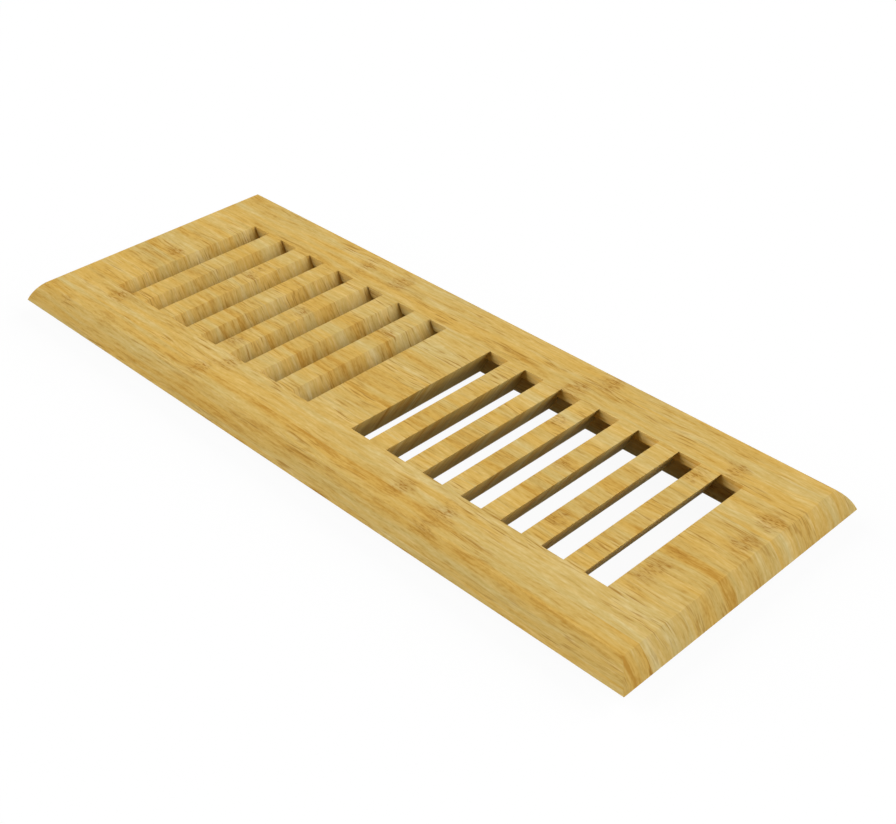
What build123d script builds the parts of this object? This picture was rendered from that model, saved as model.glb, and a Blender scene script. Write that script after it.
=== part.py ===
from build123d import *
import math
import os

# Louvred floor register, milled from one board of bamboo.
# A rim with a bulging bevel laps onto the floor, a body below it drops into the duct opening, and two
# banks of leaning slots throw the air towards the two ends.
# Frame: X along the register, Y across it, Z up. The origin is the middle of the body's flat underside.

# Driving dimensions in millimetres and degrees
BOARD_THICKNESS = 17.7

RIM_LENGTH = 351.0
RIM_WIDTH = 139.7
RIM_THICKNESS = 9.3
EDGE_RUN = 6.75
EDGE_RADIUS = 22.5

OPENING_LENGTH = 304.8
OPENING_WIDTH = 101.6
DROP_IN_CLEARANCE = 0.8
LEAD_IN = 1.0

SLOTS_PER_BANK = 7
SLOT_PITCH = 20.0
SLOT_WIDTH = 10.5
SLOT_LENGTH = 80.6
SLOT_LEAN = 30.0
BRIDGE_WIDTH = 26.0
LIP_THICKNESS = 4.8
END_RELIEF = 5.2

# Sizes that follow from them
FLOOR_LEVEL = BOARD_THICKNESS - RIM_THICKNESS
BODY_LENGTH = OPENING_LENGTH - 2 * DROP_IN_CLEARANCE
BODY_WIDTH = OPENING_WIDTH - 2 * DROP_IN_CLEARANCE
LIP_LEVEL = BOARD_THICKNESS - LIP_THICKNESS
LEAN_PER_MM = math.tan(math.radians(SLOT_LEAN))


def rim_section(span):
    """The rim's section over a span: flat on top, with a bulging bevel down to the foot at either end."""
    foot = (span / 2, FLOOR_LEVEL)
    bevel_top = (span / 2 - EDGE_RUN, BOARD_THICKNESS)
    with BuildSketch() as section:
        with BuildLine():
            Polyline(bevel_top, (0, BOARD_THICKNESS), (0, FLOOR_LEVEL), foot)
            RadiusArc(foot, bevel_top, -EDGE_RADIUS)
        make_face()
        mirror(about=Plane.YZ)
    return section.sketch


def rim():
    """The lapping rim: its section runs along both directions, so the bevels meet in mitres."""
    lengthwise = extrude(Plane.YZ * rim_section(RIM_WIDTH), RIM_LENGTH / 2, both=True)
    crosswise = extrude(Plane.XZ * rim_section(RIM_LENGTH), RIM_WIDTH / 2, both=True)
    return lengthwise & crosswise


def drop_in_body():
    """The block below the rim that fits the duct opening, with its lower edges eased."""
    block = Box(BODY_LENGTH, BODY_WIDTH, FLOOR_LEVEL, align=(Align.CENTER, Align.CENTER, Align.MIN))
    lower_edges = block.faces().sort_by(Axis.Z)[0].edges()
    return chamfer(lower_edges, LEAD_IN)


def leaning_cut(inner_edge, top, length):
    """A cutter for one slot from a level down through the underside; it leans inwards as it goes down."""
    def inner_at(level):
        return inner_edge - LEAN_PER_MM * (BOARD_THICKNESS - level)

    bottom = -BOARD_THICKNESS
    corners = [
        (inner_at(top), top),
        (inner_at(top) + SLOT_WIDTH, top),
        (inner_at(bottom) + SLOT_WIDTH, bottom),
        (inner_at(bottom), bottom),
    ]
    return extrude(Plane.XZ * make_face(Polyline(*corners, close=True)), length / 2, both=True)


def slot(inner_edge):
    """One slot: the opening in the top face, and below the lip a longer one, relieved at both ends."""
    through = leaning_cut(inner_edge, 2 * BOARD_THICKNESS, SLOT_LENGTH)
    relieved = leaning_cut(inner_edge, LIP_LEVEL, SLOT_LENGTH + 2 * END_RELIEF)
    return through + relieved


def vent_cover():
    """The whole register: the two banks mirror each other about the bridge."""
    bank = [slot(BRIDGE_WIDTH / 2 + i * SLOT_PITCH) for i in range(SLOTS_PER_BANK)]
    other_bank = [mirror(cutter, about=Plane.YZ) for cutter in bank]
    return rim() + drop_in_body() - bank - other_bank


os.makedirs("parts", exist_ok=True)
export_step(vent_cover(), "parts/vent_cover.step")
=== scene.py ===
import math

import bmesh
import bpy
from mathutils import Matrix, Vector


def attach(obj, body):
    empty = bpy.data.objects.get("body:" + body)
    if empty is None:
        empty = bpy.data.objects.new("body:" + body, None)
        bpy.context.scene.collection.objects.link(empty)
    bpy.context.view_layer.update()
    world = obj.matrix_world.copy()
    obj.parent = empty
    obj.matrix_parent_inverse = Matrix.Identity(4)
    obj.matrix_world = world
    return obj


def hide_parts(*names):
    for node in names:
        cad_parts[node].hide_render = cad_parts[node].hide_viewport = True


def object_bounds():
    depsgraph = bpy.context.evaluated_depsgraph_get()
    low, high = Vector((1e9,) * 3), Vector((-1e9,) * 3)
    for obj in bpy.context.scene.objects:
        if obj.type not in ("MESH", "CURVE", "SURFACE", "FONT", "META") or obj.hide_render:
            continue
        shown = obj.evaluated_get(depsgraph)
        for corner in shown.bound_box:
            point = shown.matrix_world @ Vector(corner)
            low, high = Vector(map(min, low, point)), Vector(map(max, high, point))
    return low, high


# A bamboo floor register, seen from above its near right corner on a white studio floor.
# Lengths are written in millimetres and turned to metres with MM; angles are in degrees.
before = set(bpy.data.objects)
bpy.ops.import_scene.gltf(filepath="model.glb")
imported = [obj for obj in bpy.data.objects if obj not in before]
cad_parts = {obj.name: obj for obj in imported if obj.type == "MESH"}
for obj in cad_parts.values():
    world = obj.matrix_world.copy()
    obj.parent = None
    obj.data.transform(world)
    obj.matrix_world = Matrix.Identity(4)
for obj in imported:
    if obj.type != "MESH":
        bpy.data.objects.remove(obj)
cad_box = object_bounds()

MM = 0.001

# The milled board. Faces within FLAT_ANGLE of each other become one, outer edges past LEAST_ARRIS_ANGLE are
# eased, and edges up to SMOOTH_ANGLE are shaded smooth.
BOARD_TOP = cad_box[1][2] / MM
EASED_ARRIS = 0.12
ARRIS_STEPS = 3
LEAST_ARRIS_ANGLE = 25
FLAT_ANGLE = 0.5
SMOOTH_ANGLE = 50
MERGE_DISTANCE = 0.001

# The bamboo: strips pressed flat side by side, with the fibres along X.
# FIRST_STRIP counts strips, and STRIP_SHIFT is the most that one strip's grain is moved against another's.
STRIP_WIDTH = 18.0
STRIP_VARIETY = 0.7
FIRST_STRIP = 4.9
STRIP_SHIFT = 760.0
WAVE_HEIGHT = 2.2

# Patterns in the bamboo: length along the fibres, width across them, and the noise's detail.
# Real fibres are thinner than a pixel, so the finest patterns are drawn 0.7 mm wide to show at all.
WAVE = (34.0, 14.0, 2.0)
BAND = (90.0, 6.0, 3.0)
STREAK = (22.0, 2.8, 2.0)
FIBRE = (8.0, 1.1, 2.0)
DASH = (2.2, 0.7, 1.0)
HUE = (80.0, 6.0, 3.0)
PATCH = (34.0, 13.0, 1.0)
STAIN = (11.0, 0.9, 1.0)
FLECK = (2.6, 0.7, 1.0)

# What a noise is on average, and where in it a pattern starts and is full
NOISE_AVERAGE = 0.5
HUE_RANGE = (0.39, 0.68)
PATCH_RANGE = (0.46, 0.62)
STAIN_RANGE = (0.55, 0.72)
FLECK_RANGE = (0.48, 0.64)

# The tone of the wood: what each pattern adds to it, and the colour that it gives
TONE_BASE = 0.033
STREAK_SHARE = 0.19
BAND_SHARE = 0.19
FIBRE_SHARE = 0.3
DASH_SHARE = 0.14
STRIP_SHARE = 0.07
CUT_ACROSS_SHARE = 0.2
WOOD_TONES = [
    (0.35, "#BC8F3E"), (0.4, "#C59C4B"), (0.45, "#CEA957"), (0.488, "#D2AE5D"), (0.525, "#D5B364"),
    (0.575, "#DBBB70"), (0.61, "#DFC178"),
]

# Tints that multiply the colour. Even the warmest stretch keeps a little of the pale tint. A painted shade,
# a duller and less amber tint on faces that look down, comes in over a range of the normal's Z.
WARM_TINT = (1.03, 0.957, 0.81)
PALE_TINT = (0.953, 1.053, 1.41)
LEAST_PALE = 0.19
# Painted shade: the tint that faces looking down are multiplied by
DOWNWARD_SHADE_TINT = (0.86, 0.935, 0.95)
DOWNWARD_SHADE_RANGE = (0.0, -0.4)

# Brown stains along single fibres
STAIN_BROWN = "#A87A33"
STAIN_STRENGTH = 0.9

# Knuckles of the cane that show in the face: middle X and Y, and half the width across the strip.
# Their brown fades out over a range of distances that is counted in half widths.
KNUCKLES = [
    (-77, 53, 7), (-54, 53, 7), (-136, -44, 6), (-58, -44, 5), (-64, -56, 8), (-150, -64, 4),
    (65, 60, 8), (57, 46, 6), (136, 46, 6), (54, -52, 7), (76, -52, 7), (76, -62, 5),
    (163, 11, 7), (163, 30, 5), (149, -20, 13), (126, 33, 6), (66, 23, 5), (106, -24, 6), (86, 3, 5),
    (-109, 12, 8), (-68, 3, 5), (-28, 20, 4), (-71, -32, 5), (-151, -2, 4),
]
KNUCKLE_LENGTH = 5.0
KNUCKLE_RAGGEDNESS = 2.8
KNUCKLE_RANGE = (1.5, 2.8)
FAR_FROM_KNUCKLES = 9.0
KNUCKLE_BROWN = "#A2712C"
PALEST_FLECK = 0.22
DARKEST_FLECK = 0.9

# The clear coat
COAT_ROUGHNESS = 0.7
COAT_SPECULAR = 0.03

# The photograph's view, solved from the slots' edges and the outline
VIEW_TARGET = (0.0, 0.0, 8.7)
VIEW_DISTANCE = 640.65
VIEW_AZIMUTH = -44.26
VIEW_ELEVATION = 34.484
LENS = 61.323
SENSOR = 36.0
SHIFT_X = 0.0521
SHIFT_Y = -0.02053

# The studio: a soft box on either hand of the camera, in a white room
LAMP_AZIMUTHS = (45.0, 225.0)
LAMP_ELEVATION = 28.5
LAMP_SPREAD = 65.0
LAMP_LIGHT = 3.28
STUDIO_WHITE = "#FFFFFF"
FLOOR_SIZE = 6000.0
FLOOR_LIGHT = 0.125
SHADOW_SHARE = 0.06
SKY_LIGHT = 0.02

# A mix node's sockets for two colours and their mix
FIRST_COLOUR, SECOND_COLOUR, MIXED_COLOUR = 6, 7, 2


def linear(code):
    """A colour written as sRGB hex, as the linear RGBA that a socket takes."""
    channels = [int(code[i:i + 2], 16) / 255 for i in (1, 3, 5)]
    return [c / 12.92 if c <= 0.04045 else ((c + 0.055) / 1.055) ** 2.4 for c in channels] + [1.0]


def empty_tree(owner):
    """The node tree of a material or a world, with nothing in it yet."""
    owner.use_nodes = True
    owner.node_tree.nodes.clear()
    return owner.node_tree


def add_node(tree, kind, inputs=None, **settings):
    """Adds a node with its settings. Each input is a value for that socket, or an output to link to it."""
    node = tree.nodes.new(kind)
    for name, value in settings.items():
        setattr(node, name, value)
    for socket, value in (inputs or {}).items():
        if isinstance(value, bpy.types.NodeSocket):
            tree.links.new(value, node.inputs[socket])
        else:
            node.inputs[socket].default_value = value
    return node


def towards(azimuth, elevation):
    """The direction of something seen from the board; azimuth turns from X towards Y."""
    turn, rise = math.radians(azimuth), math.radians(elevation)
    return Vector((math.cos(turn) * math.cos(rise), math.sin(turn) * math.cos(rise), math.sin(rise)))


def bamboo_board():
    """The board as milled, with every outer arris sanded round."""
    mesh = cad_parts["vent_cover"].data.copy()
    mesh.name = "bamboo_board"
    board = bpy.data.objects.new("bamboo_board", mesh)
    bpy.context.scene.collection.objects.link(board)
    bpy.ops.object.select_all(action="DESELECT")
    board.select_set(True)
    bpy.context.view_layer.objects.active = board

    bpy.ops.object.mode_set(mode="EDIT")
    bpy.ops.mesh.customdata_custom_splitnormals_clear()
    bpy.ops.mesh.select_all(action="SELECT")
    bpy.ops.mesh.remove_doubles(threshold=MERGE_DISTANCE * MM)
    bpy.ops.mesh.dissolve_limited(angle_limit=math.radians(FLAT_ANGLE))
    bpy.ops.mesh.select_all(action="DESELECT")
    bpy.ops.mesh.select_mode(type="EDGE")
    shape = bmesh.from_edit_mesh(mesh)
    for edge in shape.edges:
        arris = edge.is_manifold and edge.calc_face_angle_signed() > math.radians(LEAST_ARRIS_ANGLE)
        edge.select_set(arris)
    bmesh.update_edit_mesh(mesh)
    bpy.ops.mesh.bevel(offset=EASED_ARRIS * MM, segments=ARRIS_STEPS, affect="EDGES")
    bpy.ops.object.mode_set(mode="OBJECT")

    bpy.ops.object.shade_smooth_by_angle(angle=math.radians(SMOOTH_ANGLE))
    flats = board.modifiers.new("flats_stay_flat", "WEIGHTED_NORMAL")
    flats.keep_sharp = True
    bpy.ops.object.modifier_apply(modifier=flats.name)
    return board


def grain(tree, place, pattern):
    """A noise drawn out along the fibres in one of the patterns above; gives the noise's outputs."""
    length, width, detail = pattern
    scale = (1 / (length * MM), 1 / (width * MM), 1 / (width * MM))
    scaled = add_node(tree, "ShaderNodeMapping", {0: place, "Scale": scale})
    noise = add_node(tree, "ShaderNodeTexNoise", {0: scaled.outputs[0], "Scale": 1.0, "Detail": detail})
    return noise.outputs


def place_on_face(tree, surface):
    """Where a point lies on the face, in X and Y. The grain runs on over every edge: faces below the top
    carry on its pattern as if it were bent down."""
    at = add_node(tree, "ShaderNodeSeparateXYZ", {0: surface.outputs["Object"]})
    depth = add_node(tree, "ShaderNodeMath", {0: BOARD_TOP * MM, 1: at.outputs["Z"]}, operation="SUBTRACT")
    bend = add_node(tree, "ShaderNodeVectorMath",
                    {0: surface.outputs["Normal"], "Scale": depth.outputs[0]}, operation="SCALE")
    bent = add_node(tree, "ShaderNodeVectorMath", {0: surface.outputs["Object"], 1: bend.outputs[0]},
                    operation="ADD")
    flat = add_node(tree, "ShaderNodeVectorMath", {0: bent.outputs[0], 1: (1.0, 1.0, 0.0)},
                    operation="MULTIPLY")
    return flat.outputs[0]


def wavy_fibres(tree, face):
    """The places on the face, swaying sideways as the fibres do on their way along the strip."""
    sway = add_node(tree, "ShaderNodeVectorMath",
                    {0: grain(tree, face, WAVE)["Color"], 1: (NOISE_AVERAGE,) * 3}, operation="SUBTRACT")
    wavy = add_node(tree, "ShaderNodeVectorMath",
                    {0: sway.outputs[0], 1: (0.0, 2 * WAVE_HEIGHT * MM, 0.0), 2: face},
                    operation="MULTIPLY_ADD")
    return wavy.outputs[0]


def strip_colour(tree, face):
    """A random colour for each strip. It sets the strip's tone and which stretch of cane it shows."""
    at = add_node(tree, "ShaderNodeSeparateXYZ", {0: face})
    count = add_node(tree, "ShaderNodeMath",
                     {0: at.outputs["Y"], 1: 1 / (STRIP_WIDTH * MM), 2: FIRST_STRIP},
                     operation="MULTIPLY_ADD")
    strip = add_node(tree, "ShaderNodeTexVoronoi",
                     {"W": count.outputs[0], "Scale": 1.0, "Randomness": STRIP_VARIETY},
                     voronoi_dimensions="1D")
    return strip.outputs["Color"]


def own_cane(tree, fibres, strip):
    """The fibres moved along and across, so that each strip shows a stretch of cane of its own."""
    shift = add_node(tree, "ShaderNodeVectorMath", {0: strip, 1: (STRIP_SHIFT * MM,) * 3},
                     operation="MULTIPLY")
    cane = add_node(tree, "ShaderNodeVectorMath", {0: fibres, 1: shift.outputs[0]}, operation="ADD")
    return cane.outputs[0]


def wood_colour(tree, cane, strip, streaks, facing):
    """Straw and tan, by a tone that all the patterns add up to."""
    bands = grain(tree, cane, BAND)["Fac"]
    strip_tone = add_node(tree, "ShaderNodeSeparateColor", {0: strip})
    patterns = [
        (STREAK_SHARE, streaks),
        (BAND_SHARE, bands),
        (FIBRE_SHARE, grain(tree, cane, FIBRE)["Fac"]),
        (DASH_SHARE, grain(tree, cane, DASH)["Fac"]),
        (STRIP_SHARE, strip_tone.outputs["Red"]),
    ]
    tone = TONE_BASE
    for share, pattern in patterns:
        added = add_node(tree, "ShaderNodeMath", {0: pattern, 1: share, 2: tone}, operation="MULTIPLY_ADD")
        tone = added.outputs[0]

    # Where the fibres are cut across, the bands differ more
    cut_across = add_node(tree, "ShaderNodeMath", {0: facing.outputs["X"]}, operation="ABSOLUTE")
    band_step = add_node(tree, "ShaderNodeMath", {0: bands, 1: NOISE_AVERAGE}, operation="SUBTRACT")
    cut_step = add_node(tree, "ShaderNodeMath", {0: band_step.outputs[0], 1: cut_across.outputs[0]},
                        operation="MULTIPLY")
    full_tone = add_node(tree, "ShaderNodeMath", {0: cut_step.outputs[0], 1: CUT_ACROSS_SHARE, 2: tone},
                         operation="MULTIPLY_ADD")

    wood = add_node(tree, "ShaderNodeValToRGB", {0: full_tone.outputs[0]})
    ramp = wood.color_ramp.elements
    ramp.remove(ramp[1])
    for i, (position, code) in enumerate(WOOD_TONES):
        stop = ramp.new(position) if i else ramp[0]
        stop.position = position
        stop.color = linear(code)
    return wood.outputs["Color"]


def with_hues(tree, colour, cane):
    """Some stretches are warmer, others paler and greener."""
    pale = add_node(tree, "ShaderNodeMapRange",
                    {"Value": grain(tree, cane, HUE)["Fac"], "From Min": HUE_RANGE[0],
                     "From Max": HUE_RANGE[1], "To Min": LEAST_PALE})
    tint = add_node(tree, "ShaderNodeMix",
                    {0: pale.outputs[0], FIRST_COLOUR: (*WARM_TINT, 1.0), SECOND_COLOUR: (*PALE_TINT, 1.0)},
                    data_type="RGBA")
    tinted = add_node(tree, "ShaderNodeMix",
                      {0: 1.0, FIRST_COLOUR: colour, SECOND_COLOUR: tint.outputs[MIXED_COLOUR]},
                      data_type="RGBA", blend_type="MULTIPLY")
    return tinted.outputs[MIXED_COLOUR]


def with_stains(tree, colour, cane):
    """Here and there, a few thin fibres are stained brown."""
    patch = add_node(tree, "ShaderNodeMapRange",
                     {"Value": grain(tree, cane, PATCH)["Fac"], "From Min": PATCH_RANGE[0],
                      "From Max": PATCH_RANGE[1]})
    thread = add_node(tree, "ShaderNodeMapRange",
                      {"Value": grain(tree, cane, STAIN)["Fac"], "From Min": STAIN_RANGE[0],
                       "From Max": STAIN_RANGE[1], "To Max": STAIN_STRENGTH})
    stain = add_node(tree, "ShaderNodeMath", {0: patch.outputs[0], 1: thread.outputs[0]},
                     operation="MULTIPLY")
    stained = add_node(tree, "ShaderNodeMix",
                       {0: stain.outputs[0], FIRST_COLOUR: colour, SECOND_COLOUR: linear(STAIN_BROWN)},
                       data_type="RGBA")
    return stained.outputs[MIXED_COLOUR]


def with_knuckles(tree, colour, fibres, streaks):
    """A ragged brown cloud about each knuckle, with dark flecks in it."""
    nearest = FAR_FROM_KNUCKLES
    for x, y, across in KNUCKLES:
        local = add_node(tree, "ShaderNodeMapping",
                         {0: fibres, "Location": (x * MM, y * MM, 0.0),
                          "Scale": (KNUCKLE_LENGTH * MM, across * MM, 1.0)}, vector_type="TEXTURE")
        apart = add_node(tree, "ShaderNodeVectorMath", {0: local.outputs[0]}, operation="LENGTH")
        nearer = add_node(tree, "ShaderNodeMath", {0: nearest, 1: apart.outputs["Value"]},
                          operation="MINIMUM")
        nearest = nearer.outputs[0]
    ragged = add_node(tree, "ShaderNodeMath", {0: streaks, 1: KNUCKLE_RAGGEDNESS, 2: nearest},
                      operation="MULTIPLY_ADD")
    cloud = add_node(tree, "ShaderNodeMapRange",
                     {"Value": ragged.outputs[0], "From Min": KNUCKLE_RANGE[0],
                      "From Max": KNUCKLE_RANGE[1], "To Min": 1.0, "To Max": 0.0},
                     interpolation_type="SMOOTHSTEP")
    fleck = add_node(tree, "ShaderNodeMapRange",
                     {"Value": grain(tree, fibres, FLECK)["Fac"], "From Min": FLECK_RANGE[0],
                      "From Max": FLECK_RANGE[1], "To Min": PALEST_FLECK, "To Max": DARKEST_FLECK})
    brown = add_node(tree, "ShaderNodeMath", {0: fleck.outputs[0], 1: cloud.outputs[0]},
                     operation="MULTIPLY")
    knuckled = add_node(tree, "ShaderNodeMix",
                        {0: brown.outputs[0], FIRST_COLOUR: colour, SECOND_COLOUR: linear(KNUCKLE_BROWN)},
                        data_type="RGBA")
    return knuckled.outputs[MIXED_COLOUR]


def with_painted_shade_below(tree, colour, facing):
    """Painted shade: faces that look down are tinted duller and less amber, standing in for the shade that
    falls on them.
    """
    shade_amount = add_node(tree, "ShaderNodeMapRange",
                    {"Value": facing.outputs["Z"], "From Min": DOWNWARD_SHADE_RANGE[0], "From Max": DOWNWARD_SHADE_RANGE[1]})
    shaded = add_node(tree, "ShaderNodeMix",
                      {0: shade_amount.outputs[0], FIRST_COLOUR: colour, SECOND_COLOUR: (*DOWNWARD_SHADE_TINT, 1.0)},
                      data_type="RGBA", blend_type="MULTIPLY")
    return shaded.outputs[MIXED_COLOUR]


def bamboo():
    """Natural bamboo strips pressed into one board, sanded and clear-coated to a soft satin.
    The eye gets soft straw and tan streaks along the fibres, a tone that steps a little from strip to strip,
    and brown, freckled knuckles. No highlight shows."""
    material = bpy.data.materials.new("bamboo_satin")
    tree = empty_tree(material)
    surface = add_node(tree, "ShaderNodeTexCoord")
    facing = add_node(tree, "ShaderNodeSeparateXYZ", {0: surface.outputs["Normal"]})
    face = place_on_face(tree, surface)
    fibres = wavy_fibres(tree, face)
    strip = strip_colour(tree, face)
    cane = own_cane(tree, fibres, strip)
    streaks = grain(tree, cane, STREAK)["Fac"]

    colour = wood_colour(tree, cane, strip, streaks, facing)
    colour = with_hues(tree, colour, cane)
    colour = with_stains(tree, colour, cane)
    colour = with_knuckles(tree, colour, fibres, streaks)
    # Painted shade: faces that look down are tinted duller and less amber
    colour = with_painted_shade_below(tree, colour, facing)
    coated = add_node(tree, "ShaderNodeBsdfPrincipled",
                      {"Base Color": colour, "Roughness": COAT_ROUGHNESS,
                       "Specular IOR Level": COAT_SPECULAR})
    add_node(tree, "ShaderNodeOutputMaterial", {0: coated.outputs[0]})
    return material


def seen_directly(tree):
    """1 for what the camera sees, straight or by a reflection, and 0 for light on its way to a surface."""
    ray = add_node(tree, "ShaderNodeLightPath")
    mirrored = add_node(tree, "ShaderNodeMath",
                        {0: ray.outputs["Is Glossy Ray"], 1: ray.outputs["Is Transmission Ray"]},
                        operation="MAXIMUM")
    seen = add_node(tree, "ShaderNodeMath", {0: ray.outputs["Is Camera Ray"], 1: mirrored.outputs[0]},
                    operation="MAXIMUM")
    return seen.outputs[0]


def white_paper():
    """Matt white paper. The camera sees it white, with the board's shadow faint on it, and it throws only
    dim light back at the board."""
    material = bpy.data.materials.new("white_paper")
    tree = empty_tree(material)
    glow = add_node(tree, "ShaderNodeEmission", {0: linear(STUDIO_WHITE), 1: 1.0})
    paper = add_node(tree, "ShaderNodeBsdfDiffuse", {0: linear(STUDIO_WHITE)})
    dimmed = add_node(tree, "ShaderNodeEmission", {0: linear(STUDIO_WHITE), 1: FLOOR_LIGHT})
    shadowed = add_node(tree, "ShaderNodeMixShader",
                        {0: SHADOW_SHARE, 1: glow.outputs[0], 2: paper.outputs[0]})
    either = add_node(tree, "ShaderNodeMixShader",
                      {0: seen_directly(tree), 1: dimmed.outputs[0], 2: shadowed.outputs[0]})
    add_node(tree, "ShaderNodeOutputMaterial", {0: either.outputs[0]})
    return material


def studio_floor():
    """The floor that the board lies on."""
    bpy.ops.object.select_all(action="DESELECT")
    bpy.ops.mesh.primitive_plane_add(size=FLOOR_SIZE * MM, location=(0, 0, 0))
    floor = bpy.context.active_object
    floor.name = "studio_floor"
    floor.data.materials.append(white_paper())


def studio_sky():
    """A dim room that the camera sees as plain white."""
    world = bpy.data.worlds.new("white_room")
    bpy.context.scene.world = world
    tree = empty_tree(world)
    room = add_node(tree, "ShaderNodeBackground", {0: linear(STUDIO_WHITE), 1: SKY_LIGHT})
    white = add_node(tree, "ShaderNodeBackground", {0: linear(STUDIO_WHITE), 1: 1.0})
    either = add_node(tree, "ShaderNodeMixShader",
                      {0: seen_directly(tree), 1: room.outputs[0], 2: white.outputs[0]})
    add_node(tree, "ShaderNodeOutputWorld", {0: either.outputs[0]})


def soft_boxes():
    """Two equal, broad lamps, one to the camera's left and one to its right."""
    for azimuth in LAMP_AZIMUTHS:
        data = bpy.data.lights.new("soft_box", "SUN")
        data.energy = LAMP_LIGHT
        data.angle = math.radians(LAMP_SPREAD)
        lamp = bpy.data.objects.new("soft_box", data)
        lamp.rotation_euler = towards(azimuth, LAMP_ELEVATION).to_track_quat("Z", "Y").to_euler()
        bpy.context.scene.collection.objects.link(lamp)


def camera():
    """The photograph's camera."""
    back = towards(VIEW_AZIMUTH, VIEW_ELEVATION)
    data = bpy.data.cameras.new("camera")
    data.lens = LENS
    data.sensor_width = SENSOR
    data.sensor_fit = "HORIZONTAL"
    data.shift_x = SHIFT_X
    data.shift_y = SHIFT_Y
    seen_from = bpy.data.objects.new("camera", data)
    seen_from.location = Vector(VIEW_TARGET) * MM + back * VIEW_DISTANCE * MM
    seen_from.rotation_euler = back.to_track_quat("Z", "Y").to_euler()
    bpy.context.scene.collection.objects.link(seen_from)
    bpy.context.scene.camera = seen_from


board = bamboo_board()
board.data.materials.clear()
board.data.materials.append(bamboo())
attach(board, "root")
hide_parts("vent_cover")

studio_floor()
studio_sky()
soft_boxes()
camera()
bpy.context.scene.view_settings.view_transform = "Standard"
